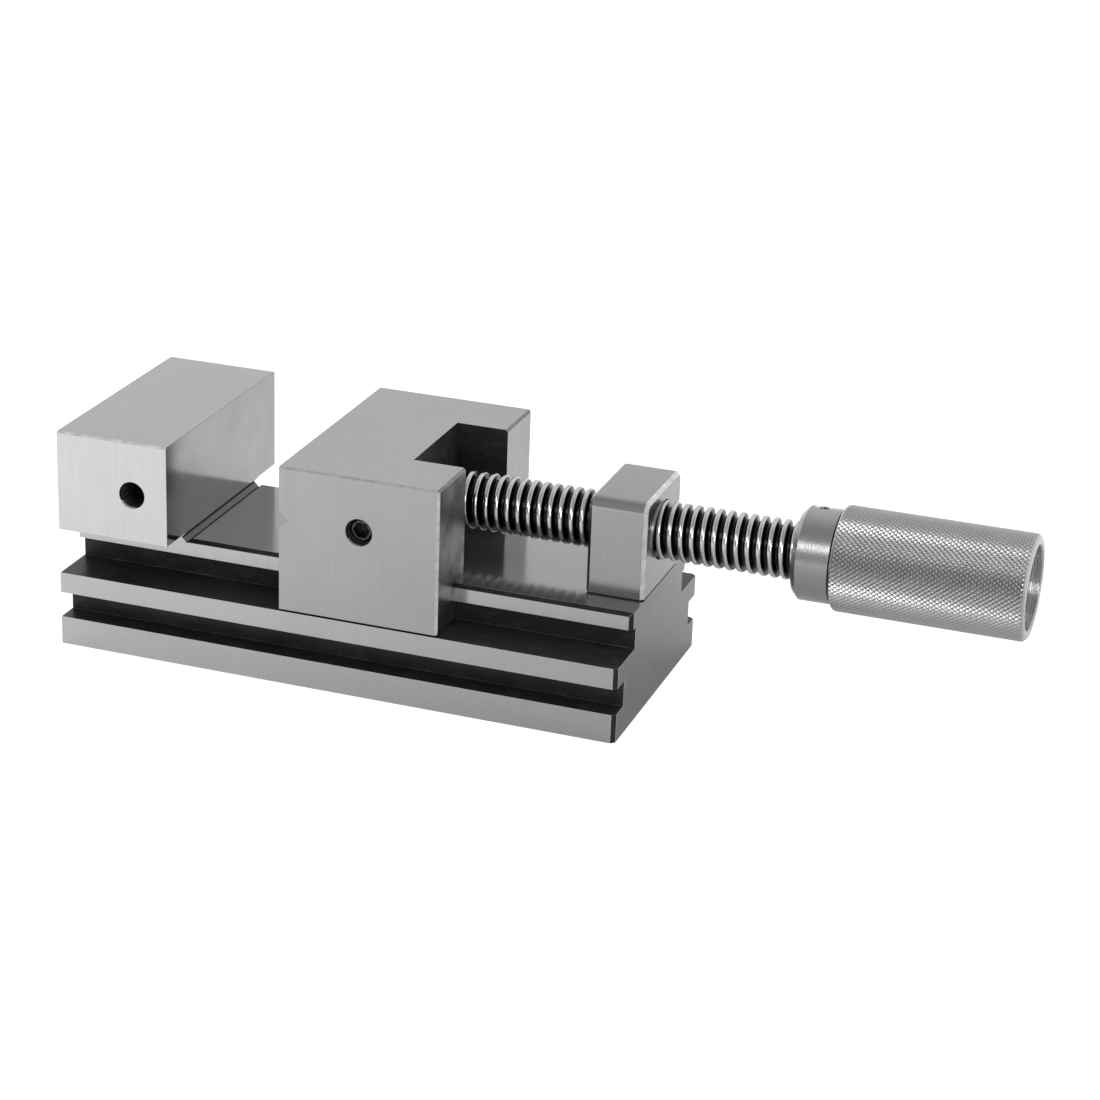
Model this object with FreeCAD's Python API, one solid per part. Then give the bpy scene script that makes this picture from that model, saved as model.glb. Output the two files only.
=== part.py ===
import FreeCAD, Part
import math
import os

# Precision grinding vise: a hardened and ground body with an integral fixed jaw, a sliding
# moving jaw on a T-shaped guide, and a lead screw in a bolted nut block, turned by a knurled
# sleeve handle. Millimetres, +Z up. The origin is the middle of the ground underside; +X runs
# from the fixed jaw to the handle, and the vise is shown opened by jaw_opening.

# Body: one block with a flanged section along its whole length
body_length = 160.0
body_width = 70.0
base_flange_height = 8.0
lower_slot_height = 7.2
lower_slot_depth = 6.5
middle_flange_height = 5.8
upper_slot_height = 6.2
upper_slot_depth = 14.5
guide_flange_height = 4.8
guide_inset = 11.5
way_chamfer = 1.0
end_corner_chamfer = 1.1

# Fixed jaw, in one piece with the body
jaw_depth = 30.0
fixed_jaw_length = 32.5
jaw_overhang_lift = 1.8
jaw_edge_chamfer = 0.5
relief_width = 2.3
relief_depth = 0.6
stop_hole_diameter = 6.8
stop_hole_depth = 16.0
stop_hole_from_face = 10.3
tapped_hole_chamfer = 0.4

# Nut block, bolted and dowelled to the right end of the body
nut_length = 16.0
nut_width = 30.0
nut_height = 27.0
nut_round = 3.0
nut_face_chamfer = 1.0
nut_foot_chamfer = 0.4
blind_end_clearance = 0.4
nut_screw_from_side = 4.5
nut_screw_core = 4.2
nut_screw_shank = 5.0
nut_screw_head_diameter = 8.5
nut_screw_head_height = 5.0
nut_screw_length = 25.0
nut_screw_socket = 4.0
counterbore_depth = 16.0
counterbore_clearance = 0.5
dowel_diameter = 4.0
dowel_length = 10.0
dowel_spacing = 8.0

# Moving jaw
jaw_opening = 32.8
moving_jaw_length = 45.0
skirt_clearance = 0.6
slide_clearance = 0.05
notch_depth = 14.7
notch_clearance = 1.0
moving_jaw_chamfer = 0.7
vee_depth = 2.6

# Lead screw and its seat in the moving jaw
screw_axis_height = 15.0
thread_diameter = 16.0
thread_length = 101.0
thread_end_chamfer = 1.2
shoulder_gap = 0.7
nose_diameter = 12.0
nose_length = 16.0
neck_diameter = 6.0
neck_width = 5.4
neck_from_shoulder = 8.3
running_clearance = 0.05
thrust_pad_thickness = 3.0
nose_screw_core = 6.8
nose_screw_length = 30.0
nose_screw_chamfer = 0.7
nose_screw_tip_diameter = 5.0
nose_screw_tip_length = 4.0
dog_clearance = 0.1
nose_screw_socket = 4.0

# Handle: a plain collar and a knurled sleeve on the screw's shank
shank_diameter = 12.0
collar_diameter = 24.8
collar_length = 10.5
collar_chamfer = 1.5
collar_seam_chamfer = 0.3
collar_screw_from_thread = 4.8
collar_screw_core = 3.3
collar_screw_length = 5.5
collar_screw_socket = 2.0
collar_screw_lean = 10.0
sleeve_diameter = 28.0
sleeve_length = 50.0
sleeve_chamfer = 0.8
sleeve_bore = 22.0
sleeve_bore_chamfer = 0.4
sleeve_web = 10.0
shank_setback = 0.3
drive_pin_diameter = 3.0
drive_pin_length = 8.0
drive_pin_spacing = 18.0
washer_diameter = 18.0
washer_thickness = 2.0
sleeve_screw_core = 5.0
sleeve_screw_shank = 6.0
sleeve_screw_length = 16.0
sleeve_screw_head_diameter = 10.0
sleeve_screw_head_height = 6.0
sleeve_screw_socket = 5.0
fit_clearance = 0.02
socket_share = 0.5

# Levels and stations that follow from the sizes above
half_width = body_width / 2
left_end = -body_length / 2
right_end = body_length / 2
lower_slot_top = base_flange_height + lower_slot_height
middle_flange_top = lower_slot_top + middle_flange_height
guide_underside = middle_flange_top + upper_slot_height
way_level = guide_underside + guide_flange_height
guide_half = half_width - guide_inset
jaw_top = way_level + jaw_depth
fixed_face = left_end + fixed_jaw_length
axis_z = way_level + screw_axis_height
moving_face = fixed_face + jaw_opening
moving_end = moving_face + moving_jaw_length
notch_floor = moving_end - notch_depth
thread_start = notch_floor + shoulder_gap
nose_tip = thread_start - nose_length
neck_centre = thread_start - neck_from_shoulder
collar_start = thread_start + thread_length
sleeve_start = collar_start + collar_length
sleeve_end = sleeve_start + sleeve_length
web_face = sleeve_start + sleeve_web
nut_start = right_end - nut_length
nut_top = way_level + nut_height
nut_centre = right_end - nut_length / 2
nut_screw_spacing = nut_width - 2 * nut_screw_from_side

X_AXIS = FreeCAD.Vector(1, 0, 0)
Y_AXIS = FreeCAD.Vector(0, 1, 0)
Z_AXIS = FreeCAD.Vector(0, 0, 1)


def block(x0, x1, y0, y1, z0, z1):
    return Part.makeBox(x1 - x0, y1 - y0, z1 - z0, FreeCAD.Vector(x0, y0, z0))


def rod(diameter, start, direction, length):
    return Part.makeCylinder(diameter / 2, length, FreeCAD.Vector(*start), direction)


def section(half_outline, x0, x1):
    """Extrude a section along X from its half outline in (y, z), mirrored about Y = 0."""
    mirrored = [(-y, z) for y, z in reversed(half_outline) if y > 0]
    outline = [FreeCAD.Vector(x0, y, z) for y, z in half_outline + mirrored]
    wire = Part.makePolygon(outline + [outline[0]])
    return Part.Face(wire).extrude(X_AXIS * (x1 - x0))


def turned(profile):
    """Revolve a closed (x, radius) profile about the screw's axis."""
    points = [FreeCAD.Vector(x, 0, axis_z + radius) for x, radius in profile]
    face = Part.Face(Part.makePolygon(points + [points[0]]))
    return face.revolve(FreeCAD.Vector(0, 0, axis_z), X_AXIS, 360)


def in_plane(edge, axis, level):
    """True where both ends of the edge lie at this level along the axis."""
    return all(abs(vertex.Point.dot(axis) - level) < 1e-4 for vertex in edge.Vertexes)


def runs_along(edge, axis):
    """True for a straight edge parallel to the axis."""
    span = edge.Vertexes[-1].Point - edge.Vertexes[0].Point
    return abs(abs(span.dot(axis)) - edge.Length) < 1e-4


def hex_socket(across_flats, start, direction, depth):
    """Six-sided key socket: a hexagon set across the direction, then extruded along it."""
    corner_radius = across_flats / math.sqrt(3)
    hexagon = [FreeCAD.Vector(corner_radius * math.cos(math.radians(60 * k)),
                              corner_radius * math.sin(math.radians(60 * k)), 0) for k in range(7)]
    prism = Part.Face(Part.makePolygon(hexagon)).extrude(Z_AXIS * depth)
    turn = FreeCAD.Rotation(Z_AXIS, direction)
    prism.Placement = FreeCAD.Placement(FreeCAD.Vector(*start), turn)
    return prism


def tapped_hole(core, mouth, direction, depth):
    """Hole at its core diameter with a chamfered mouth; the thread itself is not cut."""
    hole = rod(core, mouth, direction, depth)
    mouth_cone = Part.makeCone(core / 2 + tapped_hole_chamfer, core / 2, tapped_hole_chamfer,
                               FreeCAD.Vector(*mouth), direction)
    return hole.fuse(mouth_cone)


parts = {}

# Body with the fixed jaw: the flanged section is milled along the full length, the fixed jaw
# stands over the guide and overhangs it on both sides, level with the flanges
body_outline = [
    (0, 0),
    (half_width, 0),
    (half_width, base_flange_height),
    (half_width - lower_slot_depth, base_flange_height),
    (half_width - lower_slot_depth, lower_slot_top),
    (half_width, lower_slot_top),
    (half_width, middle_flange_top),
    (half_width - upper_slot_depth, middle_flange_top),
    (half_width - upper_slot_depth, guide_underside),
    (guide_half, guide_underside),
    (guide_half, way_level - way_chamfer),
    (guide_half - way_chamfer, way_level),
    (0, way_level),
]
body = section(body_outline, left_end, right_end)
corner_planes = (-half_width, -guide_half, guide_half, half_width)
end_corners = [edge for edge in body.Edges
               if in_plane(edge, X_AXIS, right_end) and runs_along(edge, Z_AXIS)
               and any(in_plane(edge, Y_AXIS, y) for y in corner_planes)]
body = body.makeChamfer(end_corner_chamfer, end_corners)

jaw_underside = way_level + jaw_overhang_lift
fixed_jaw = block(left_end, fixed_face, -half_width, half_width, jaw_underside, jaw_top)
long_top_edges = [edge for edge in fixed_jaw.Edges
                  if in_plane(edge, Z_AXIS, jaw_top) and runs_along(edge, X_AXIS)]
fixed_jaw = fixed_jaw.makeChamfer(jaw_edge_chamfer, long_top_edges)
jaw_neck = block(left_end, fixed_face, -guide_half, guide_half, way_level - way_chamfer, jaw_underside)
body = body.fuse([fixed_jaw, jaw_neck]).removeSplitter()

# Grinding relief at the foot of the fixed jaw, plunged at 45 degrees across the full width
relief = block(-relief_depth, relief_width * 2, -body_width, body_width,
               -relief_width / 2, relief_width / 2)
relief.Placement = FreeCAD.Placement(FreeCAD.Vector(fixed_face, 0, way_level),
                                     FreeCAD.Rotation(Y_AXIS, -45))
body = body.cut(relief)

# Tapped holes for a work stop, one in each side of the fixed jaw
stop_x = fixed_face - stop_hole_from_face
for side in (-1, 1):
    body = body.cut(tapped_hole(stop_hole_diameter, (stop_x, side * half_width, axis_z),
                                Y_AXIS * -side, stop_hole_depth))

# Counterbored screw holes and blind dowel holes that carry the nut block
screw_seat = counterbore_depth
nut_screw_tip = screw_seat + nut_screw_length
dowel_depth = dowel_length / 2
for side in (-1, 1):
    screw_y = side * nut_screw_spacing / 2
    body = body.cut(rod(nut_screw_shank + counterbore_clearance, (nut_centre, screw_y, 0),
                        Z_AXIS, way_level))
    body = body.cut(rod(nut_screw_head_diameter + 2 * counterbore_clearance, (nut_centre, screw_y, 0),
                        Z_AXIS, counterbore_depth))
    body = body.cut(rod(dowel_diameter + 2 * fit_clearance,
                        (nut_centre + side * dowel_spacing / 2, 0, way_level - dowel_depth),
                        Z_AXIS, dowel_depth))
parts["vise_body"] = body

# Nut block: rounded top, chamfered outline on both end faces, threaded bore on the screw's axis
nut = block(nut_start, right_end, -nut_width / 2, nut_width / 2, way_level, nut_top)
long_top_edges = [edge for edge in nut.Edges
                  if in_plane(edge, Z_AXIS, nut_top) and runs_along(edge, X_AXIS)]
nut = nut.makeFillet(nut_round, long_top_edges)
face_edges = [edge for edge in nut.Edges
              if (in_plane(edge, X_AXIS, nut_start) or in_plane(edge, X_AXIS, right_end))
              and not in_plane(edge, Z_AXIS, way_level)]
nut = nut.makeChamfer(nut_face_chamfer, face_edges)
foot_edges = [edge for edge in nut.Edges if in_plane(edge, Z_AXIS, way_level)]
nut = nut.makeChamfer(nut_foot_chamfer, foot_edges)
nut_bore_diameter = thread_diameter + 2 * running_clearance
nut = nut.cut(rod(nut_bore_diameter, (nut_start, 0, axis_z), X_AXIS, nut_length))
for side in (-1, 1):
    screw_y = side * nut_screw_spacing / 2
    nut = nut.cut(rod(nut_screw_core + 2 * fit_clearance, (nut_centre, screw_y, way_level),
                      Z_AXIS, nut_screw_tip - way_level + blind_end_clearance))
    nut = nut.cut(rod(dowel_diameter + 2 * fit_clearance,
                      (nut_centre + side * dowel_spacing / 2, 0, way_level), Z_AXIS, dowel_depth))
parts["nut_block"] = nut


def cap_screw(head_face, direction, head_diameter, head_height, core, shank, length, plain, socket):
    """Socket cap screw: plain shank under the head, then the threaded part at core size."""
    under_head = FreeCAD.Vector(*head_face) + direction * head_height
    screw = rod(head_diameter, head_face, direction, head_height)
    screw = screw.fuse(rod(shank, under_head, direction, plain))
    screw = screw.fuse(rod(core, under_head + direction * plain, direction, length - plain))
    return screw.cut(hex_socket(socket, head_face, direction, head_height * socket_share))


for side, name in ((-1, "near"), (1, "far")):
    parts["nut_screw_" + name] = cap_screw(
        (nut_centre, side * nut_screw_spacing / 2, screw_seat - nut_screw_head_height), Z_AXIS,
        nut_screw_head_diameter, nut_screw_head_height, nut_screw_core, nut_screw_shank,
        nut_screw_length, way_level - screw_seat, nut_screw_socket)
for side, name in ((-1, "inner"), (1, "outer")):
    parts["nut_dowel_" + name] = rod(dowel_diameter,
                                     (nut_centre + side * dowel_spacing / 2, 0,
                                      way_level - dowel_depth), Z_AXIS, dowel_length)

# Moving jaw: it straddles the guide, and its lips run in the upper slots under the guide flange
skirt_bottom = middle_flange_top + skirt_clearance
lip_top = guide_underside - slide_clearance
lip_half = half_width - upper_slot_depth + slide_clearance
slot_half = guide_half + slide_clearance
slot_roof = way_level + slide_clearance
jaw_outline = [
    (0, jaw_top),
    (half_width, jaw_top),
    (half_width, skirt_bottom),
    (lip_half, skirt_bottom),
    (lip_half, lip_top),
    (slot_half, lip_top),
    (slot_half, slot_roof),
    (0, slot_roof),
]
jaw = section(jaw_outline, moving_face, moving_end)
rear_edges = [edge for edge in jaw.Edges if in_plane(edge, X_AXIS, moving_end)
              and (in_plane(edge, Z_AXIS, jaw_top) or in_plane(edge, Y_AXIS, half_width)
                   or in_plane(edge, Y_AXIS, -half_width))]
jaw = jaw.makeChamfer(moving_jaw_chamfer, rear_edges)
long_top_edges = [edge for edge in jaw.Edges
                  if in_plane(edge, Z_AXIS, jaw_top) and runs_along(edge, X_AXIS)]
jaw = jaw.makeChamfer(jaw_edge_chamfer, long_top_edges)
notch_half = nut_width / 2 + notch_clearance
jaw = jaw.cut(block(notch_floor, moving_end + notch_clearance, -notch_half, notch_half,
                    slot_roof, jaw_top + notch_clearance))

# Horizontal vee across the clamping face, level with the screw, for round work
vee = [FreeCAD.Vector(moving_face, -half_width, axis_z - vee_depth),
       FreeCAD.Vector(moving_face + vee_depth, -half_width, axis_z),
       FreeCAD.Vector(moving_face, -half_width, axis_z + vee_depth)]
jaw = jaw.cut(Part.Face(Part.makePolygon(vee + [vee[0]])).extrude(Y_AXIS * body_width))

# Blind seat for the screw's nose with the thrust pad at its bottom, and the two retaining screws
seat_diameter = nose_diameter + 2 * running_clearance
seat_bottom = nose_tip - slide_clearance - thrust_pad_thickness
jaw = jaw.cut(rod(seat_diameter, (seat_bottom, 0, axis_z), X_AXIS, notch_floor - seat_bottom))
dog_tip = neck_diameter / 2 + dog_clearance
for side in (-1, 1):
    jaw = jaw.cut(tapped_hole(nose_screw_core + 2 * fit_clearance,
                              (neck_centre, side * half_width, axis_z), Y_AXIS * -side, half_width))
parts["moving_jaw"] = jaw
parts["thrust_pad"] = rod(nose_diameter, (seat_bottom, 0, axis_z), X_AXIS, thrust_pad_thickness)

# Dog-point set screws: their tips stand in the neck of the screw's nose and pull the jaw back;
# their socketed ends lie just inside the jaw's sides
for side, name in ((-1, "near"), (1, "far")):
    inward = Y_AXIS * -side
    tip_y = side * dog_tip
    step_y = side * (dog_tip + nose_screw_tip_length)
    socket_y = side * (dog_tip + nose_screw_length)
    dog = rod(nose_screw_tip_diameter, (neck_centre, step_y, axis_z), inward, nose_screw_tip_length)
    stud = rod(nose_screw_core, (neck_centre, socket_y, axis_z), inward,
               nose_screw_length - nose_screw_tip_length)
    socket_rim = [edge for edge in stud.Edges if in_plane(edge, Y_AXIS, socket_y)]
    stud = stud.makeChamfer(nose_screw_chamfer, socket_rim)
    socket = hex_socket(nose_screw_socket, (neck_centre, socket_y, axis_z), inward,
                        nose_screw_socket)
    parts["nose_screw_" + name] = stud.fuse(dog).cut(socket)

# Lead screw: nose with its neck, threaded length at its outer diameter, and the handle's shank
shank_end = web_face - shank_setback
thread_radius = thread_diameter / 2
nose_radius = nose_diameter / 2
neck_radius = neck_diameter / 2
shank_radius = shank_diameter / 2
screw = turned([
    (nose_tip, 0),
    (nose_tip, nose_radius),
    (neck_centre - neck_width / 2, nose_radius),
    (neck_centre - neck_width / 2, neck_radius),
    (neck_centre + neck_width / 2, neck_radius),
    (neck_centre + neck_width / 2, nose_radius),
    (thread_start, nose_radius),
    (thread_start, thread_radius - thread_end_chamfer),
    (thread_start + thread_end_chamfer, thread_radius),
    (collar_start, thread_radius),
    (collar_start, shank_radius),
    (shank_end, shank_radius),
    (shank_end, 0),
])
end_screw_reach = sleeve_screw_length - washer_thickness - shank_setback
screw = screw.cut(rod(sleeve_screw_core + 2 * fit_clearance,
                      (shank_end - end_screw_reach - fit_clearance, 0, axis_z), X_AXIS,
                      end_screw_reach + fit_clearance))
parts["lead_screw"] = screw

# Plain collar behind the thread, held on the shank by a set screw from above, which leans a
# little to the far side
collar_radius = collar_diameter / 2
bore_radius = shank_radius + fit_clearance
collar = turned([
    (collar_start, bore_radius),
    (collar_start, collar_radius - collar_chamfer),
    (collar_start + collar_chamfer, collar_radius),
    (sleeve_start - collar_seam_chamfer, collar_radius),
    (sleeve_start, collar_radius - collar_seam_chamfer),
    (sleeve_start, bore_radius),
])
screw_foot = FreeCAD.Vector(collar_start + collar_screw_from_thread, 0, axis_z)
lean = math.radians(collar_screw_lean)
outwards = FreeCAD.Vector(0, math.sin(lean), math.cos(lean))
collar = collar.cut(tapped_hole(collar_screw_core + 2 * fit_clearance,
                                screw_foot + outwards * collar_radius, outwards * -1,
                                collar_radius))
set_screw_top = screw_foot + outwards * (bore_radius + collar_screw_length)
set_screw = rod(collar_screw_core, set_screw_top, outwards * -1, collar_screw_length)
set_screw = set_screw.cut(hex_socket(collar_screw_socket, set_screw_top, outwards * -1,
                                     collar_screw_socket))
parts["collar_set_screw"] = set_screw

# Knurled sleeve: a deep open bore from the handle's end, closed by a web that seats on the collar
sleeve_radius = sleeve_diameter / 2
sleeve_bore_radius = sleeve_bore / 2
sleeve = turned([
    (sleeve_start, bore_radius),
    (sleeve_start, sleeve_radius - sleeve_chamfer),
    (sleeve_start + sleeve_chamfer, sleeve_radius),
    (sleeve_end - sleeve_chamfer, sleeve_radius),
    (sleeve_end, sleeve_radius - sleeve_chamfer),
    (sleeve_end, sleeve_bore_radius + sleeve_bore_chamfer),
    (sleeve_end - sleeve_bore_chamfer, sleeve_bore_radius),
    (web_face, sleeve_bore_radius),
    (web_face, bore_radius),
])

# Two drive pins carry the torque from the sleeve to the collar
for side, name in ((-1, "near"), (1, "far")):
    pin_start = (sleeve_start - drive_pin_length / 2, side * drive_pin_spacing / 2, axis_z)
    pin_hole = rod(drive_pin_diameter + 2 * fit_clearance, pin_start, X_AXIS, drive_pin_length)
    collar = collar.cut(pin_hole)
    sleeve = sleeve.cut(pin_hole)
    parts["drive_pin_" + name] = rod(drive_pin_diameter, pin_start, X_AXIS, drive_pin_length)
parts["handle_collar"] = collar
parts["knurled_sleeve"] = sleeve

# Washer and cap screw at the bottom of the sleeve's bore clamp its web to the collar
washer = rod(washer_diameter, (web_face, 0, axis_z), X_AXIS, washer_thickness)
washer = washer.cut(rod(sleeve_screw_shank + 2 * fit_clearance, (web_face, 0, axis_z), X_AXIS,
                        washer_thickness))
parts["sleeve_washer"] = washer
parts["sleeve_screw"] = cap_screw(
    (web_face + washer_thickness + sleeve_screw_head_height, 0, axis_z), X_AXIS * -1,
    sleeve_screw_head_diameter, sleeve_screw_head_height, sleeve_screw_core, sleeve_screw_shank,
    sleeve_screw_length, washer_thickness, sleeve_screw_socket)

os.makedirs("parts", exist_ok=True)
for name, shape in parts.items():
    assert shape.isValid() and len(shape.Solids) == 1, name
    shape.exportStep("parts/" + name + ".step")
    box = shape.BoundBox
    print("%-18s x %8.2f %8.2f  y %7.2f %7.2f  z %6.2f %6.2f  volume %.1f" % (
        name, box.XMin, box.XMax, box.YMin, box.YMax, box.ZMin, box.ZMax, shape.Volume))
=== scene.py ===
import math

import bpy
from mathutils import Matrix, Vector


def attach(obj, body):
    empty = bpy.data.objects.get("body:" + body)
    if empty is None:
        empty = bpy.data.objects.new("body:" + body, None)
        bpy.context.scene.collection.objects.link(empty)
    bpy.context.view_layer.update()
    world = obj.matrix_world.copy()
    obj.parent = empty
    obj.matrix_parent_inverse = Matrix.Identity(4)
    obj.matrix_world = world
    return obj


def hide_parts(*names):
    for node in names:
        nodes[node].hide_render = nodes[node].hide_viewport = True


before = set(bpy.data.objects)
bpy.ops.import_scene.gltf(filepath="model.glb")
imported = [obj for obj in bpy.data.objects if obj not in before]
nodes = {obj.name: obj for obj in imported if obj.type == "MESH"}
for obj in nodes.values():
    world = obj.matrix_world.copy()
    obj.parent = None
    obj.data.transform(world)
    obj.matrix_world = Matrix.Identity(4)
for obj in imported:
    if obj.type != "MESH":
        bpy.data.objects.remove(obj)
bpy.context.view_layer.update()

# Camera. It stands where the photographer stood, a little to the right of the vise and above it,
# and looks through a long lens; the picture's middle lies right of the lens's axis, hence the shift.
tilt = math.radians(68.308)
roll = math.radians(-1.199)
heading = math.radians(21.185)
bpy.ops.object.select_all(action="DESELECT")
bpy.ops.object.camera_add(location=(0.28636, -0.70459, 0.33638), rotation=(tilt, roll, heading))
camera = bpy.context.object
camera.name = "camera"
camera.data.lens = 98.133
camera.data.sensor_width = 36.0
camera.data.shift_x = 0.09149
camera.data.shift_y = -0.01748
camera.data.clip_start = 0.01
bpy.context.scene.camera = camera
bpy.context.scene.view_settings.view_transform = "Standard"


# Floor and light. White paper that keeps the vise's shadow; metal sees it with a painted glow,
# brighter at the left and behind. A soft lamp beside the camera gives the glints, a faint one at the
# front left draws the light band along the handle, and the surround is lightest at the back and the
# sides.
class Signal:
    """One output of a shader node. An expression written with signals adds its nodes to the tree."""

    def __init__(self, tree, output):
        self.tree = tree
        self.output = output

    def node(self, kind, settings, inputs, output=0):
        """Adds a node of this kind: its settings first, then the values or links of its sockets."""
        made = self.tree.nodes.new(kind)
        for name, value in settings.items():
            setattr(made, name, value)
        for name, value in inputs.items():
            if isinstance(value, Signal):
                self.tree.links.new(value.output, made.inputs[name])
            else:
                made.inputs[name].default_value = value
        return Signal(self.tree, made.outputs[output])

    def maths(self, operation, first, second=0.0):
        return self.node("ShaderNodeMath", {"operation": operation}, {0: first, 1: second})

    def __add__(self, other):
        return self.maths("ADD", self, other)

    def __radd__(self, other):
        return self.maths("ADD", other, self)

    def __sub__(self, other):
        return self.maths("SUBTRACT", self, other)

    def __rsub__(self, other):
        return self.maths("SUBTRACT", other, self)

    def __mul__(self, other):
        return self.maths("MULTIPLY", self, other)

    def __rmul__(self, other):
        return self.maths("MULTIPLY", other, self)

    def ramp(self, low, high, at_low=0.0, at_high=1.0):
        """Straight ramp between two levels of the signal, held outside them."""
        return self.node("ShaderNodeMapRange", {}, {
            "Value": self, "From Min": low, "From Max": high, "To Min": at_low, "To Max": at_high})

    def blend(self, first, second):
        """Colour that goes from the first to the second as this signal goes from 0 to 1."""
        return self.node("ShaderNodeMix", {"data_type": "RGBA"}, {0: self, 6: first, 7: second}, 2)

    def stretched(self, x, y, z):
        """Coordinates multiplied along each axis, so that a pattern has this many marks to a metre."""
        return self.node("ShaderNodeVectorMath", {"operation": "MULTIPLY"}, {0: self, 1: (x, y, z)})

    def noise(self, detail=3.0, roughness=0.5):
        return self.node("ShaderNodeTexNoise", {}, {
            "Vector": self, "Scale": 1.0, "Detail": detail, "Roughness": roughness})

    def part(self, axis):
        return self.node("ShaderNodeSeparateXYZ", {}, {0: self}, "XYZ".index(axis))


class Finish:
    """A material around one surface shader. What is the same all over is set on its sockets."""

    def __init__(self, name, **values):
        self.material = bpy.data.materials.new(name)
        self.material.use_nodes = True
        self.tree = self.material.node_tree
        self.surface = self.tree.nodes["Principled BSDF"]
        for socket, value in values.items():
            self.surface.inputs[socket.replace("_", " ")].default_value = value
        coordinates = self.tree.nodes.new("ShaderNodeTexCoord")
        self.place = Signal(self.tree, coordinates.outputs["Object"])
        self.facing = Signal(self.tree, coordinates.outputs["Normal"])

    def varies(self, socket, signal):
        self.tree.links.new(signal.output, self.surface.inputs[socket])

    def speckle(self, per_metre, detail=3.0, roughness=0.5):
        """Noise with this many spots to a metre in every direction."""
        return self.place.stretched(per_metre, per_metre, per_metre).noise(detail, roughness)

    def relief(self, height, depth):
        """Bump of this depth in metres, from a height signal between 0 and 1."""
        self.varies("Normal", height.node("ShaderNodeBump", {}, {
            "Height": height, "Distance": depth, "Strength": 1.0}))


def grey(level):
    return (level, level, level, 1.0)


bpy.ops.object.select_all(action="DESELECT")
bpy.ops.mesh.primitive_plane_add(size=60.0, location=(0, 0, 0))
floor = bpy.context.object
floor.name = "paper_floor"
paper = Finish("paper", Roughness=0.9, Specular_IOR_Level=0.0, Emission_Strength=1.0)
fibres = paper.speckle(700)
paper.varies("Base Color", fibres.blend(grey(0.68), grey(0.72)))
rays = paper.tree.nodes.new("ShaderNodeLightPath").outputs
to_camera = Signal(paper.tree, rays["Is Camera Ray"])
to_metal = Signal(paper.tree, rays["Is Glossy Ray"])
to_glass = Signal(paper.tree, rays["Is Transmission Ray"])
# Painted light: for metal and glass the paper glows, brightest at the left and behind, as if lit there.
painted_glow_left = paper.place.part("X").ramp(low=-0.15, high=0.12, at_low=0.62, at_high=0.02)
painted_glow_behind = paper.place.part("Y").ramp(low=0.02, high=0.12, at_low=0.0, at_high=0.4)
painted_paper_glow = painted_glow_left + painted_glow_behind
seen_glow = 0.75
glow = to_camera * seen_glow + (to_metal + to_glass) * painted_paper_glow
paper.varies("Emission Color", glow.blend(grey(0.0), grey(1.0)))
floor.data.materials.append(paper.material)

world = bpy.context.scene.world or bpy.data.worlds.new("surround")
bpy.context.scene.world = world
world.use_nodes = True
world_tree = world.node_tree
background = world_tree.nodes["Background"]
direction = Signal(world_tree, world_tree.nodes.new("ShaderNodeTexCoord").outputs["Generated"])
to_side = direction.part("X")
openness = (to_side * to_side).ramp(0.3, 0.7) + direction.part("Y").ramp(-0.1, 0.6)
surround = openness.blend(grey(0.45), grey(0.87))
world_tree.links.new(surround.output, background.inputs["Color"])

ground_blocks = bpy.data.collections.new("ground_blocks")


def keep_from_lamps(piece):
    """A lamp's mirror image would blot out a ground block, so the lamps leave it out."""
    ground_blocks.objects.link(piece)
    ground_blocks.collection_objects[-1].light_linking.link_state = "EXCLUDE"


def soft_lamp(name, place, aim, width, power):
    """Round lamp that lights everything but the ground blocks; width in metres, power in watts."""
    bpy.ops.object.select_all(action="DESELECT")
    bpy.ops.object.light_add(type="AREA", location=place)
    lamp = bpy.context.object
    lamp.name = name
    lamp.data.shape = "DISK"
    lamp.data.size = width
    lamp.data.energy = power
    lamp.rotation_euler = (Vector(aim) - Vector(place)).to_track_quat("-Z", "Y").to_euler()
    lamp.light_linking.receiver_collection = ground_blocks


soft_lamp("camera_side_lamp", place=(0.67, -0.94, 0.42), aim=(0.05, 0.0, 0.04), width=0.50, power=4.2)
soft_lamp("front_left_lamp", place=(-0.14, -0.62, 0.48), aim=(0.125, 0.0, 0.047), width=0.24, power=0.8)


# Vise body. One block of hardened steel with the fixed jaw in one piece, ground on every outer face;
# the milled side slots keep their black scale. It starts from a welded copy of its CAD node.
def work_on(piece):
    bpy.ops.object.select_all(action="DESELECT")
    piece.select_set(True)
    bpy.context.view_layer.objects.active = piece


def welded_copy(node, name):
    """New object from a CAD node's mesh: triangles welded and flat faces made whole again."""
    piece = bpy.data.objects.new(name, nodes[node].data.copy())
    bpy.context.scene.collection.objects.link(piece)
    piece.data.materials.clear()
    work_on(piece)
    bpy.ops.object.mode_set(mode="EDIT")
    bpy.ops.mesh.select_all(action="SELECT")
    bpy.ops.mesh.remove_doubles(threshold=0.000002)
    bpy.ops.mesh.customdata_custom_splitnormals_clear()
    bpy.ops.mesh.dissolve_limited(angle_limit=math.radians(0.4))
    bpy.ops.object.mode_set(mode="OBJECT")
    return piece


def break_edges(piece, width):
    """Narrow rounding along every sharp edge, as left by a stone; flat faces stay flat in the light."""
    work_on(piece)
    bpy.ops.object.shade_smooth()
    bpy.ops.object.modifier_add(type="BEVEL")
    bevel = piece.modifiers[-1]
    bevel.width = width
    bevel.segments = 2
    bevel.limit_method = "ANGLE"
    bevel.angle_limit = math.radians(35)
    bevel.use_clamp_overlap = True
    bevel.harden_normals = True
    bpy.ops.object.modifier_apply(modifier=bevel.name)


def paint(piece, finishes, choose):
    """Gives every face the one of these finishes that choose(centre, normal) returns."""
    piece.data.materials.clear()
    for finish in finishes:
        piece.data.materials.append(finish.material)
    for face in piece.data.polygons:
        face.material_index = finishes.index(choose(face.center, face.normal))


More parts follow.
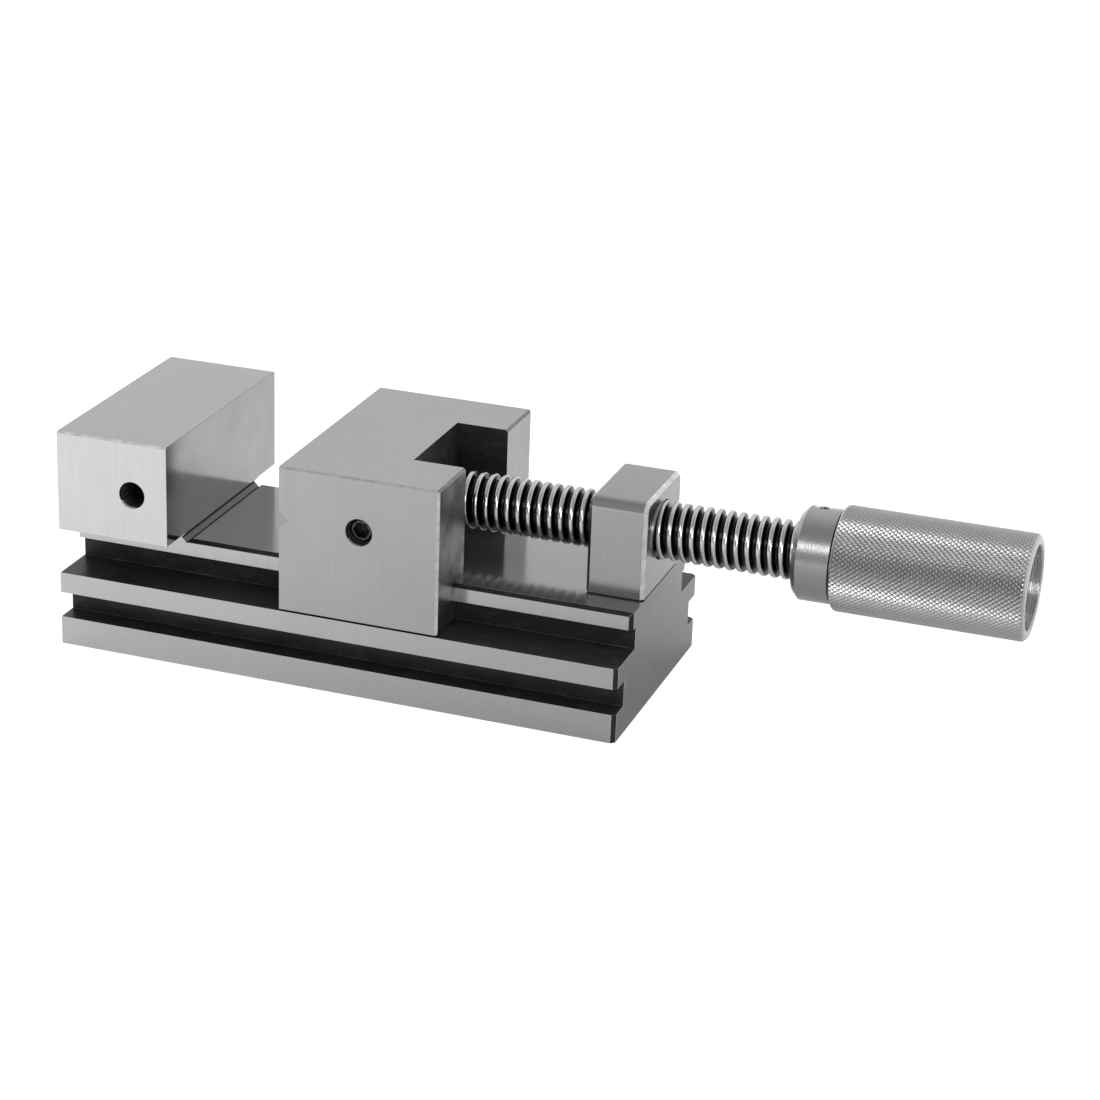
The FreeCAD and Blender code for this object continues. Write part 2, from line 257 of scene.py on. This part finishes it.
def deliver(piece, body, slot, *replaced):
    """The piece rides on its body and takes the place of its CAD nodes."""
    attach(piece, body)
    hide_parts(*replaced)


def ground_steel(name, sides, tops, ends, roughness, clouding=0.05, haze=0.0):
    """Ground steel with very fine lines. Tops, sides and ends each get a grey of their own, painted light
    and shade.
    """
    across = 1500
    along = 50
    darker = 0.95
    lighter = 1.05
    steel = Finish(name, Metallic=1.0 - haze)
    flat = steel.facing.part("Z").ramp(0.6, 0.8)
    end_face = (steel.facing.part("X") * steel.facing.part("X")).ramp(0.4, 0.6)
    side_lines = steel.place.stretched(across, across, along).noise(4.0, 0.6)
    cross_lines = steel.place.stretched(across, along, across).noise(4.0, 0.6)
    lines = side_lines + (flat + end_face).ramp(0.0, 1.0) * (cross_lines - side_lines)
    clouds = steel.speckle(45, 2.0)
    grain = steel.speckle(2600, 2.0)
    tone = (lines * 0.45 + clouds * 0.3 + grain * 0.25).ramp(0.3, 0.7, darker, lighter)
    stains = steel.speckle(120, 4.0, 0.6).ramp(0.35, 0.65, 1 - clouding, 1 + clouding)
    # Painted light and shade: a face's grey is set by the way it faces, tops, sides and ends apart.
    level = sides + flat * (tops - sides) + end_face * (stains * ends - sides)
    shade = tone * level
    steel.varies("Base Color", shade.blend(grey(0.0), grey(1.0)))
    steel.varies("Roughness", tone.ramp(darker, lighter, roughness + 0.04, roughness - 0.04))
    steel.relief(lines, depth=0.000006)
    return steel


def black_scale(name, level):
    """Black heat scale in milled hollows, rubbed a little lighter in patches; also used as painted shade
    and painted highlight.
    """
    scale = Finish(name, Specular_IOR_Level=0.25)
    patches = scale.place.stretched(160, 400, 400).noise(4.0, 0.6).ramp(0.45, 0.8)
    grain = scale.speckle(1800, 2.0)
    scale.varies("Base Color", patches.blend(grey(level), grey(level * 2.0)))
    scale.varies("Roughness", grain.ramp(0.2, 0.8, 0.26, 0.38))
    scale.relief(grain, depth=0.00001)
    return scale


def edge_steel(name, level, roughness, haze=0.0):
    """Steel on chamfers and eased edges at a level of its own, in small darker and lighter patches; most
    uses paint an edge's highlight or shade into it.
    """
    steel = Finish(name, Metallic=1.0 - haze)
    patches = steel.speckle(400).ramp(0.3, 0.7)
    steel.varies("Base Color", patches.blend(grey(level * 0.8), grey(level * 1.2)))
    steel.varies("Roughness", patches.ramp(0.0, 1.0, roughness + 0.05, roughness - 0.05))
    return steel


body_end = 0.0800
side_face = 0.0350
guide_side = 0.0235
way_level = 0.0320
jaw_top = 0.0620
screw_height = 0.0470
lower_slot = (0.0080, 0.0152)
upper_slot = (0.0210, 0.0272)
fixed_face = -0.0475
stop_hole = -0.0578
stop_thread_depth = 0.0145
hole_mouth = 0.0042
eased_edge = 0.0003

# The body's end faces are painted at less than half the side level: painted shade.
body_steel = ground_steel("ground_body", sides=0.49, tops=0.44, ends=0.225, roughness=0.18)
# Painted light: the fixed jaw's side faces are a lighter copy of the body's steel.
painted_light_jaw_side = ground_steel("fixed_jaw_side_painted_light", sides=0.63, tops=0.63, ends=0.63, roughness=0.35)
way_steel = ground_steel("ground_way", sides=0.40, tops=0.40, ends=0.40, roughness=0.13, haze=0.25)
slot_scale = black_scale("slot_scale", level=0.032)
corner_highlight_scale = black_scale("slot_corner_painted_highlight", level=0.25)
dark_chamfer_steel = edge_steel("chamfer_painted_shade", level=0.05, roughness=0.45)
edge_highlight_steel = edge_steel("painted_edge_highlight", level=0.95, roughness=0.50, haze=0.8)
clamping_steel = ground_steel("ground_clamping_face", sides=0.30, tops=0.30, ends=0.30, roughness=0.13)

# Painted shade: the relief groove is dark grey next to the jaw's foot and nearly black further in.
relief_steel = Finish("wheel_relief", Metallic=1.0, Roughness=0.4)
groove_floor = 0.00065
groove_line = 0.00085
sine_of_45 = 0.7071
above_way = relief_steel.place.part("Z") - way_level
from_corner = (above_way - relief_steel.place.part("X") + fixed_face) * sine_of_45
groove_shade = (from_corner * from_corner).ramp(groove_floor ** 2, groove_line ** 2)
relief_steel.varies("Base Color", groove_shade.blend(grey(0.15), grey(0.01)))

# Margins in metres that tell the faces apart, and how squarely a face looks along an axis.
hair = 0.00005
skin = 0.0001
inset = 0.0005
step = 0.0010
square_on = 0.9
steep = 0.8
at_slant = 0.6
mostly = 0.5
a_little = 0.3
barely = 0.1


def inside_hole(centre, x, lip):
    """True for a face of the tapped side hole at x that lies deeper than this lip."""
    off_axis = math.hypot(centre.x - x, centre.z - screw_height)
    return off_axis < hole_mouth and abs(centre.y) < side_face - lip


def body_finish(centre, normal):
    """Finish of a face of the body, by the place of its middle and the way it looks."""
    out = abs(centre.y)
    sideways = abs(normal.y)
    slant = sorted(abs(part) for part in normal)[1]
    chamfer = slant > at_slant
    rounding = slant > barely and not chamfer
    slot_edge = any(abs(centre.z - edge) < eased_edge for edge in lower_slot + upper_slot)
    in_slot = any(low - skin < centre.z < high + skin for low, high in (lower_slot, upper_slot))
    outermost = out > side_face - inset or out > guide_side - inset and centre.z > upper_slot[1] - step
    left_end = centre.x < eased_edge - body_end
    right_end = centre.x > body_end - eased_edge
    under_jaw = centre.z > way_level and normal.z < -mostly
    in_neck = centre.z > way_level - step and out < side_face - 5 * step and sideways > mostly
    in_relief = abs(normal.x) > a_little and abs(normal.z) > a_little
    if abs(centre.z - way_level) < hair and normal.z > square_on:
        return way_steel
    if in_relief and abs(centre.x - fixed_face) < 3 * step:
        return relief_steel
    if under_jaw or in_neck and centre.x < fixed_face or inside_hole(centre, stop_hole, eased_edge):
        return slot_scale
    # Painted shade: the low chamfers and the rounded vertical edges at the left end are painted nearly
    # black.
    if chamfer and centre.z < way_level + 3 * step or rounding and left_end and sideways > a_little:
        return dark_chamfer_steel
    if abs(centre.x - fixed_face) < hair and normal.x > square_on:
        return clamping_steel
    # Painted highlight: rounded flange edges beside the slots, the right end's rounded edges and the
    # fixed jaw's top side edges are near white.
    if rounding and centre.z < way_level - 2 * step and (slot_edge and outermost or right_end):
        return edge_highlight_steel
    if centre.z > jaw_top - step and a_little < sideways < square_on:
        return edge_highlight_steel
    # Painted highlight: the rounded inner corners along the slot floors are a lighter grey than the scale
    # beside them.
    if rounding and slot_edge and normal.z > 0:
        return corner_highlight_scale
    if in_slot and not (outermost or left_end or right_end):
        return slot_scale
    jaw_side = sideways > square_on and centre.x < fixed_face and centre.z > way_level + step
    return painted_light_jaw_side if jaw_side else body_steel


def drawn_line(name, height, points):
    """Wire through (x, radius) points above a line along X at this height, drawn with one vertex."""
    bpy.ops.object.select_all(action="DESELECT")
    bpy.ops.mesh.primitive_plane_add(size=0.001, location=(0, 0, height))
    line = bpy.context.object
    line.name = name
    bpy.context.tool_settings.mesh_select_mode = (True, False, False)
    bpy.ops.object.mode_set(mode="EDIT")
    bpy.ops.mesh.select_all(action="SELECT")
    bpy.ops.mesh.merge(type="CENTER")
    bpy.ops.transform.translate(value=(points[0][0], 0, points[0][1]))
    for here, there in zip(points, points[1:]):
        move = (there[0] - here[0], 0, there[1] - here[1])
        bpy.ops.mesh.extrude_vertices_move(TRANSFORM_OT_translate={"value": move})
    bpy.ops.object.mode_set(mode="OBJECT")
    return line


def closed_shell(piece):
    """Doubles merged and every face turned outwards."""
    work_on(piece)
    bpy.ops.object.mode_set(mode="EDIT")
    bpy.ops.mesh.select_all(action="SELECT")
    bpy.ops.mesh.remove_doubles(threshold=0.0000005)
    bpy.ops.mesh.normals_make_consistent(inside=False)
    bpy.ops.object.mode_set(mode="OBJECT")


def settle(piece):
    """Puts the piece's place into its mesh, as a CAD node has it."""
    work_on(piece)
    bpy.ops.object.transform_apply(location=True, rotation=True, scale=True)


def cut_with(piece, tool, operation="DIFFERENCE"):
    """Cuts the piece with the tool, or joins or trims it, and the tool is gone."""
    work_on(piece)
    bpy.ops.object.modifier_add(type="BOOLEAN")
    cut = piece.modifiers[-1]
    cut.operation = operation
    cut.solver = "EXACT"
    cut.object = tool
    bpy.ops.object.modifier_apply(modifier=cut.name)
    bpy.data.objects.remove(tool)


def thread_form(name, height, half_ridge, pitch, start, end, steps, phase=0.0):
    """Right-hand thread as a closed rod along X: half a ridge, mirrored, wound up and cut to length.
    It starts a little over one and a half turns early, so that no corner of the wire lies in a cut."""
    turns_before = 1.5137
    turns_to_spare = 3
    ridge = half_ridge + [(pitch - x, radius) for x, radius in reversed(half_ridge)]
    lead_in = start - turns_before * pitch + phase
    rod = drawn_line(name, height, [(lead_in + x, radius) for x, radius in ridge])
    work_on(rod)
    bpy.ops.object.modifier_add(type="SCREW")
    winding = rod.modifiers[-1]
    winding.axis = "X"
    winding.screw_offset = pitch
    winding.iterations = math.ceil((end - start) / pitch) + turns_to_spare
    winding.steps = steps
    winding.render_steps = steps
    bpy.ops.object.modifier_apply(modifier=winding.name)
    settle(rod)
    closed_shell(rod)
    bpy.ops.object.mode_set(mode="EDIT")
    for place, outwards in ((start, -1), (end, 1)):
        bpy.ops.mesh.select_all(action="SELECT")
        bpy.ops.mesh.bisect(plane_co=(place, 0, 0), plane_no=(outwards, 0, 0), use_fill=True,
                            clear_outer=True, threshold=0.00000001)
    bpy.ops.object.mode_set(mode="OBJECT")
    closed_shell(rod)
    return rod


def tap_side_hole(piece, x, depth, side):
    """Cuts the M8 thread into a side hole, from just inside its mouth."""
    groove = [(0.0, 0.0033), (0.00008, 0.0034), (0.00055, 0.00398), (0.0006, 0.004)]
    tap = thread_form("tap", 0.0, groove, pitch=0.00125, start=0.0, end=depth, steps=24)
    tap.rotation_euler = (0, 0, -side * math.pi / 2)
    tap.location = (x, side * (side_face - eased_edge), screw_height)
    settle(tap)
    cut_with(piece, tap)
    closed_shell(piece)


body = welded_copy("vise_body", "body_with_fixed_jaw")
break_edges(body, width=eased_edge)
for side in (-1, 1):
    tap_side_hole(body, stop_hole, stop_thread_depth, side)
paint(body, [body_steel, way_steel, slot_scale, painted_light_jaw_side, dark_chamfer_steel, edge_highlight_steel,
             corner_highlight_scale, clamping_steel, relief_steel], body_finish)
deliver(body, "base", "ground_steel", "vise_body")
keep_from_lamps(body)

# Moving jaw. Ground block that straddles the guide, with the notch for the nut block cut in its
# back. The notch keeps its black scale; the outside is ground like the body.
jaw_back = 0.0303
notch_floor = 0.0156
notch_side = 0.0160
vee_bottom = -0.0121
jaw_hole = 0.0080
jaw_thread_depth = 0.0015

jaw_steel = ground_steel("ground_jaw", sides=0.44, tops=0.45, ends=0.38, roughness=0.36, clouding=0.40)
clean_end_steel = ground_steel("ground_jaw_clean_end", sides=0.44, tops=0.45, ends=0.36, roughness=0.28)
notch_scale = black_scale("notch_scale", level=0.036)
rear_edge_highlight = edge_steel("rear_edge_painted_highlight", level=0.75, roughness=0.35)
rear_top_steel = edge_steel("dull_rear_top_edge", level=0.25, roughness=0.4)
side_top_steel = edge_steel("eased_side_top_edge", level=0.60, roughness=0.5, haze=0.7)


def jaw_finish(centre, normal):
    """Finish of a face of the moving jaw: black where it is hollow; the rear vertical chamfers carry a
    painted highlight.
    """
    out = abs(centre.y)
    sideways = abs(normal.y)
    behind_face = notch_floor - eased_edge < centre.x < jaw_back - skin
    in_notch = behind_face and out < notch_side + 2 * skin and centre.z < jaw_top - skin
    in_guide_slot = out < guide_side + inset and centre.z < way_level + 2 * skin
    over_lip = out < side_face - eased_edge and centre.z < upper_slot[1] + eased_edge
    in_lip_slot = over_lip and normal.z > mostly
    if in_notch or in_guide_slot or in_lip_slot or inside_hole(centre, jaw_hole, 2 * skin):
        return notch_scale
    # Painted highlight on the rear vertical chamfers; the rear top chamfer is a duller steel.
    if at_slant < normal.x < steep and centre.x > jaw_back - step:
        return rear_edge_highlight if sideways > at_slant else rear_top_steel
    if centre.z > jaw_top - step and a_little < sideways < square_on:
        return side_top_steel
    clamping = normal.x < -mostly and centre.x < vee_bottom + step
    beyond_notch = normal.x > square_on and centre.x > jaw_back - skin and centre.y > 0
    return clean_end_steel if clamping or beyond_notch else jaw_steel


jaw = welded_copy("moving_jaw", "sliding_jaw")
break_edges(jaw, width=0.00018)
for side in (-1, 1):
    tap_side_hole(jaw, jaw_hole, jaw_thread_depth, side)
paint(jaw, [jaw_steel, notch_scale, rear_edge_highlight, rear_top_steel, clean_end_steel,
            side_top_steel], jaw_finish)
deliver(jaw, "jaw", "ground_jaw_steel", "moving_jaw")
keep_from_lamps(jaw)


# Thrust pad and nose screws. The hard pad sits at the bottom of the screw's seat in the moving jaw;
# two dog-point set screws of blackened steel hold the screw's nose from the sides.
def bright_pin(name):
    """Hardened and ground steel: smooth, with faint clouding."""
    steel = Finish(name, Metallic=1.0)
    grain = steel.speckle(2200)
    steel.varies("Base Color", grain.blend(grey(0.5), grey(0.62)))
    steel.varies("Roughness", grain.ramp(0.2, 0.8, 0.28, 0.2))
    return steel


def blackened(name):
    """Black oxide on a turned screw, worn to grey specks."""
    oxide = Finish(name, Metallic=1.0)
    specks = oxide.speckle(1400, 4.0, 0.65)
    oxide.varies("Base Color", specks.ramp(0.5, 0.75).blend(grey(0.05), grey(0.18)))
    oxide.varies("Roughness", specks.ramp(0.3, 0.7, 0.42, 0.3))
    oxide.relief(specks, depth=0.000008)
    return oxide


def finish_nodes(finish, *names):
    """The CAD nodes keep their shape and get this finish."""
    for name in names:
        for material_slot in nodes[name].material_slots:
            material_slot.material = finish.material


pad_steel = bright_pin("hard_pad")
set_screw_black = blackened("blackened_set_screw")
finish_nodes(pad_steel, "thrust_pad")
finish_nodes(set_screw_black, "nose_screw_near", "nose_screw_far")

# Nut block. Ground block with rounded shoulders that carries the screw; its foot is chamfered, and
# the thin gap under the chamfer is painted black, a painted shade.
nut_chamfer_start = 0.0788
nut_chamfer_lean = 0.85
nut_steel = ground_steel("ground_nut", sides=0.40, tops=0.34, ends=0.35, roughness=0.22)
nut_edge_highlight = edge_steel("nut_edge_painted_highlight", level=0.75, roughness=0.35)
gap_painted_shade = black_scale("gap_painted_shade", level=0.010)


def nut_finish(centre, normal):
    """Finish of a nut block face: black painted shade at the foot, painted highlight on the chamfer round
    the outer face.
    """
    # Painted shade: the chamfered foot is painted black.
    if centre.z < way_level + eased_edge:
        return gap_painted_shade
    # Painted highlight: the chamfer round the outer face is a lighter steel.
    chamfer = mostly < normal.x < nut_chamfer_lean and centre.x > nut_chamfer_start
    return nut_edge_highlight if chamfer else nut_steel


nut = welded_copy("nut_block", "nut_block_ground")
break_edges(nut, width=0.00015)
paint(nut, [nut_steel, gap_painted_shade, nut_edge_highlight], nut_finish)
deliver(nut, "base", "nut_steel", "nut_block")
keep_from_lamps(nut)

# Nut screws and dowels. Two cap screws from the counterbores in the underside clamp the nut block,
# and two ground dowels keep it in line.
cap_screw_black = blackened("blackened_cap_screw")
dowel_steel = bright_pin("ground_dowel")
finish_nodes(cap_screw_black, "nut_screw_near", "nut_screw_far")
finish_nodes(dowel_steel, "nut_dowel_inner", "nut_dowel_outer")


# Lead screw. Turned and polished steel: a nose with its neck in the moving jaw, a coarse right-hand
# thread with rounded crests, and a plain shank inside the handle. Roots and flanks are painted nearly
# black, old oil and painted shade.
def turned(name, points):
    """Lathe work: a line of (x, radius) points spun about the screw's axis."""
    piece = drawn_line(name, screw_height, points)
    bpy.ops.object.mode_set(mode="EDIT")
    bpy.ops.mesh.select_all(action="SELECT")
    bpy.ops.mesh.spin(steps=96, angle=2 * math.pi, center=(0, 0, screw_height), axis=(1, 0, 0))
    bpy.ops.object.mode_set(mode="OBJECT")
    settle(piece)
    closed_shell(piece)
    return piece


nose_tip = 0.0003
neck_start = 0.0053
neck_end = 0.0107
neck_radius = 0.0030
shank_radius = 0.0060
shank_end = 0.1375
thread_start = 0.0163
thread_end = 0.1173
thread_radius = 0.0080
thread_chamfer = 0.0012
core_radius = 0.0055
crest = 0.00790
root = 0.00620
screw_ridge = [
    (0.0, root),
    (0.00032, root + 0.00002),
    (0.00050, root + 0.00022),
    (0.00082, crest - 0.00044),
    (0.00093, crest - 0.00020),
    (0.00110, crest - 0.00006),
    (0.00134, crest),
]
screw = thread_form("lead_screw_thread", screw_height, screw_ridge, pitch=0.003, start=thread_start,
                    end=thread_end, steps=48, phase=0.00084)
thread_limits = turned("thread_limits", [
    (thread_start - skin, 0.0), (thread_start - skin, thread_radius - thread_chamfer - skin),
    (thread_start + thread_chamfer, thread_radius), (thread_end + skin, thread_radius),
    (thread_end + skin, 0.0)])
cut_with(screw, thread_limits, "INTERSECT")
nose_and_shank = turned("nose_and_shank", [
    (nose_tip, 0.0), (nose_tip, shank_radius), (neck_start, shank_radius), (neck_start, neck_radius),
    (neck_end, neck_radius), (neck_end, shank_radius), (thread_start + step, shank_radius),
    (thread_start + step, core_radius), (thread_end - step, core_radius),
    (thread_end - step, shank_radius), (shank_end, shank_radius), (shank_end, 0.0)])
cut_with(screw, nose_and_shank, "UNION")
work_on(screw)
bpy.ops.object.shade_smooth_by_angle(angle=math.radians(40))


def from_axis(finish):
    """Distance from the screw's axis, in millimetres."""
    across = finish.place.part("Y")
    above = finish.place.part("Z") - screw_height
    square = across * across + above * above
    return square.maths("SQRT", square) * 1000


thread_steel = Finish("polished_thread", Metallic=1.0)
# Old oil and painted shade: below this distance from the axis the thread is painted nearly black.
oil_and_shade_below = 7.45
bright_above = 7.7
ridge_radius = from_axis(thread_steel)
wear = thread_steel.place.stretched(500, 900, 900).noise()
clean_crest = (ridge_radius + wear * 0.1).ramp(oil_and_shade_below, bright_above)
thread_steel.varies("Base Color", clean_crest.blend(grey(0.02), grey(0.62)))
thread_steel.varies("Roughness", clean_crest.ramp(0.0, 1.0, 0.26, 0.18))
screw.data.materials.append(thread_steel.material)
deliver(screw, "screw", "screw_steel", "lead_screw")

# Handle collar. Turned ring behind the thread, held on the shank by a small blackened set screw
# from above; both ends chamfered, the surface left satin from the lathe tool.
collar_start = 0.1173
sleeve_start = 0.1278
collar_radius = 0.0124
collar_chamfer = 0.0015
seam_chamfer = 0.0006
shank_bore = 0.00602
collar_screw = 0.1221
collar_screw_radius = 0.00167
collar_screw_lean = math.radians(10)
mouth_reach = 0.0026
pin_offset = 0.009
pin_radius = 0.00152
pin_depth = 0.004


def lathe_steel(name, level, roughness, ring_depth):
    """Turned steel: fine rings from the tool that draw every glint out along the axis."""
    steel = Finish(name, Metallic=1.0)
    rings_per_mm = 5.2
    feed = steel.place.part("X") * (rings_per_mm * 1000) + from_axis(steel) * rings_per_mm
    rings = feed.node("ShaderNodeTexNoise", {"noise_dimensions": "1D"}, {
        "W": feed, "Scale": 1.0, "Detail": 2.0})
    clouds = steel.speckle(90)
    grain = steel.speckle(2600, 2.0)
    tone = (rings * 0.4 + clouds * 0.3 + grain * 0.3).ramp(0.3, 0.7)
    steel.varies("Base Color", tone.blend(grey(level * 0.9), grey(level * 1.1)))
    steel.varies("Roughness", tone.ramp(0.0, 1.0, roughness + 0.05, roughness - 0.04))
    steel.relief(rings, ring_depth)
    return steel


def drill(piece, place, inwards, radius, depth, mouth=0.0):
    """Straight hole from a place on the surface, with a chamfered mouth if one is given."""
    start_above = 0.0005
    turn = Vector(inwards).to_track_quat("Z", "Y").to_euler()
    middle = Vector(place) + Vector(inwards) * (depth - start_above) / 2
    bpy.ops.object.select_all(action="DESELECT")
    bpy.ops.mesh.primitive_cylinder_add(vertices=48, radius=radius, depth=depth + start_above,
                                        rotation=turn, location=middle)
    cut_with(piece, bpy.context.object)
    if mouth:
        bpy.ops.object.select_all(action="DESELECT")
        bpy.ops.mesh.primitive_cone_add(vertices=48, radius1=radius + 2 * mouth, radius2=radius,
                                        depth=2 * mouth, rotation=turn, location=place)
        cut_with(piece, bpy.context.object)


collar = turned("satin_collar", [
    (collar_start, shank_bore), (collar_start, collar_radius - collar_chamfer),
    (collar_start + collar_chamfer, collar_radius), (sleeve_start - seam_chamfer, collar_radius),
    (sleeve_start, collar_radius - seam_chamfer), (sleeve_start, shank_bore),
    (collar_start, shank_bore)])
screw_side = math.sin(collar_screw_lean)
screw_rise = math.cos(collar_screw_lean)
drill(collar, (collar_screw, collar_radius * screw_side, screw_height + collar_radius * screw_rise),
      (0, -screw_side, -screw_rise), collar_screw_radius, depth=0.009, mouth=0.0004)
for side in (-1, 1):
    drill(collar, (sleeve_start, side * pin_offset, screw_height), (-1, 0, 0), pin_radius, pin_depth)
closed_shell(collar)
break_edges(collar, width=0.00012)
collar_steel = lathe_steel("satin_collar", level=0.38, roughness=0.25, ring_depth=0.00003)
mouth_highlight_steel = edge_steel("hole_mouth_painted_highlight", level=0.90, roughness=0.25)


def collar_finish(centre, normal):
    """Finish of a face of the collar: turned, black painted shade at the seam, a painted highlight round
    the screw hole's mouth.
    """
    # Painted shade: the seam chamfer is painted black.
    if centre.x > sleeve_start - inset:
        return gap_painted_shade
    # Painted highlight: the screw hole's mouth is a much lighter steel.
    slanting = 0.25 < abs(normal.x) < 0.97
    in_mouth = slanting and abs(centre.x - collar_screw) < mouth_reach
    return mouth_highlight_steel if in_mouth else collar_steel


paint(collar, [collar_steel, mouth_highlight_steel, gap_painted_shade], collar_finish)
deliver(collar, "screw", "collar_steel", "handle_collar")
finish_nodes(set_screw_black, "collar_set_screw")

# Drive pins. Two hardened and ground pins, half their length in the collar and half in the sleeve;
# they carry the torque of the hand from the sleeve to the collar.
drive_pin_steel = bright_pin("ground_drive_pin")
finish_nodes(drive_pin_steel, "drive_pin_near", "drive_pin_far")

# Knurled sleeve. Turned from bar, rolled with a diamond knurl from end to end, then bored and
# rounded at the ends; it is screwed against the collar through the web inside.
sleeve_end = 0.1778
sleeve_radius = 0.0140
sleeve_chamfer = 0.0008
bore_radius = 0.0110
bore_chamfer = 0.0004
web_face = 0.1378
rim_width = 0.0018
rim_drop = 0.0014
knurl_rows = 33
knurl_columns = 68
knurl_cell = 0.00154375
knurl_root = 0.0135
knurl_height = 0.00046
knurl_start = (sleeve_start + sleeve_end - knurl_rows * knurl_cell) / 2


def select_only(piece, faces=None, edges=None):
    """Edit mode with only these faces or edges selected, chosen by a test on each."""
    work_on(piece)
    for group in (piece.data.vertices, piece.data.edges, piece.data.polygons):
        group.foreach_set("select", [False] * len(group))
    chosen = piece.data.polygons if faces else piece.data.edges
    wanted = faces or edges
    for element in chosen:
        element.select = wanted(element)
    bpy.context.tool_settings.mesh_select_mode = (False, bool(edges), bool(faces))
    bpy.ops.object.mode_set(mode="EDIT")


# A tube of square cells is poked; its old grid lines go, and each diamond that is left gets a point.
bpy.ops.object.select_all(action="DESELECT")
bpy.ops.mesh.primitive_cylinder_add(
    vertices=knurl_columns, radius=knurl_root, depth=knurl_cell, end_fill_type="NOTHING",
    location=(knurl_start + knurl_cell / 2, 0, screw_height), rotation=(0, math.pi / 2, 0))
sleeve = bpy.context.object
sleeve.name = "knurled_grip"
settle(sleeve)
bpy.ops.object.modifier_add(type="ARRAY")
rows = sleeve.modifiers[-1]
rows.count = knurl_rows
rows.use_relative_offset = False
rows.use_constant_offset = True
rows.constant_offset_displace = (knurl_cell, 0, 0)
rows.use_merge_vertices = True
rows.merge_threshold = 0.00001
bpy.ops.object.modifier_apply(modifier=rows.name)
bpy.ops.object.mode_set(mode="EDIT")
bpy.ops.mesh.select_all(action="SELECT")
bpy.ops.mesh.poke(offset=0.0)
bpy.ops.object.mode_set(mode="OBJECT")


def old_grid_line(edge):
    """True for an edge of the square grid, apart from the two rims of the tube."""
    ends = [sleeve.data.vertices[index].co for index in edge.vertices]
    along = abs(ends[1].x - ends[0].x)
    at_start = abs(ends[0].x - knurl_start) < skin
    at_end = abs(ends[0].x - knurl_start - knurl_rows * knurl_cell) < skin
    on_rim = along < skin and (at_start or at_end)
    return not on_rim and (along < skin or along > 0.9 * knurl_cell)


select_only(sleeve, edges=old_grid_line)
bpy.ops.mesh.dissolve_edges(use_verts=False)
bpy.ops.object.mode_set(mode="OBJECT")
select_only(sleeve, faces=lambda face: len(face.vertices) == 4)
bpy.ops.mesh.poke(offset=knurl_height)
bpy.ops.mesh.select_all(action="SELECT")
bpy.ops.mesh.fill_holes(sides=0)
bpy.ops.mesh.normals_make_consistent(inside=False)
bpy.ops.object.mode_set(mode="OBJECT")
sleeve_shape = turned("sleeve_shape", [
    (sleeve_start, shank_bore), (sleeve_start, sleeve_radius - sleeve_chamfer),
    (sleeve_start + sleeve_chamfer, sleeve_radius), (sleeve_end - 0.0016, sleeve_radius),
    (sleeve_end - 0.0009, sleeve_radius - 0.0002), (sleeve_end - 0.0004, sleeve_radius - 0.0006),
    (sleeve_end - 0.0001, sleeve_radius - 0.0010), (sleeve_end, sleeve_radius - 0.0015),
    (sleeve_end, bore_radius + bore_chamfer), (sleeve_end - bore_chamfer, bore_radius),
    (web_face, bore_radius), (web_face, shank_bore), (sleeve_start, shank_bore)])
cut_with(sleeve, sleeve_shape, "INTERSECT")
for side in (-1, 1):
    drill(sleeve, (sleeve_start, side * pin_offset, screw_height), (1, 0, 0), pin_radius, pin_depth)
closed_shell(sleeve)
bpy.ops.object.shade_smooth_by_angle(angle=math.radians(30))

rim_steel = lathe_steel("turned_rim", level=0.58, roughness=0.26, ring_depth=0.00004)
bore_steel = lathe_steel("bored_sleeve", level=0.56, roughness=0.22, ring_depth=0.00016)
knurl_steel = Finish("rolled_knurl", Metallic=1.0)
dirt_and_shade_below = 13.52
bright_tip = 13.70
knurl_radius = from_axis(knurl_steel)
# The valleys are painted darker than the tips: dirt and painted shade.
dirt = knurl_steel.speckle(260)
knurl_tip = (knurl_radius + dirt * 0.08).ramp(dirt_and_shade_below, bright_tip)
knurl_steel.varies("Base Color", knurl_tip.blend(grey(0.24), grey(0.52)))
knurl_steel.varies("Roughness", knurl_tip.ramp(0.0, 1.0, 0.34, 0.24))


def sleeve_finish(centre, normal):
    """Finish of a face of the sleeve: knurled outside, turned at both ends, bored inside."""
    above = centre.z - screw_height
    out = math.hypot(centre.y, above)
    diamond = abs(normal.y * above - normal.z * centre.y) / out > 0.2
    between_ends = sleeve_start + step < centre.x < sleeve_end - rim_width
    outside = out > sleeve_radius - rim_drop and abs(normal.x) < square_on
    if outside and (diamond or between_ends):
        return knurl_steel
    in_bore = not outside and out < bore_radius + eased_edge and centre.x > web_face
    return bore_steel if in_bore else rim_steel


paint(sleeve, [rim_steel, knurl_steel, bore_steel], sleeve_finish)
deliver(sleeve, "screw", "knurled_steel", "knurled_sleeve")

# Sleeve washer and screw. A ground washer and a blackened cap screw at the bottom of the bore clamp
# the sleeve's web to the collar.
washer_steel = bright_pin("ground_washer")
finish_nodes(washer_steel, "sleeve_washer")
finish_nodes(cap_screw_black, "sleeve_screw")
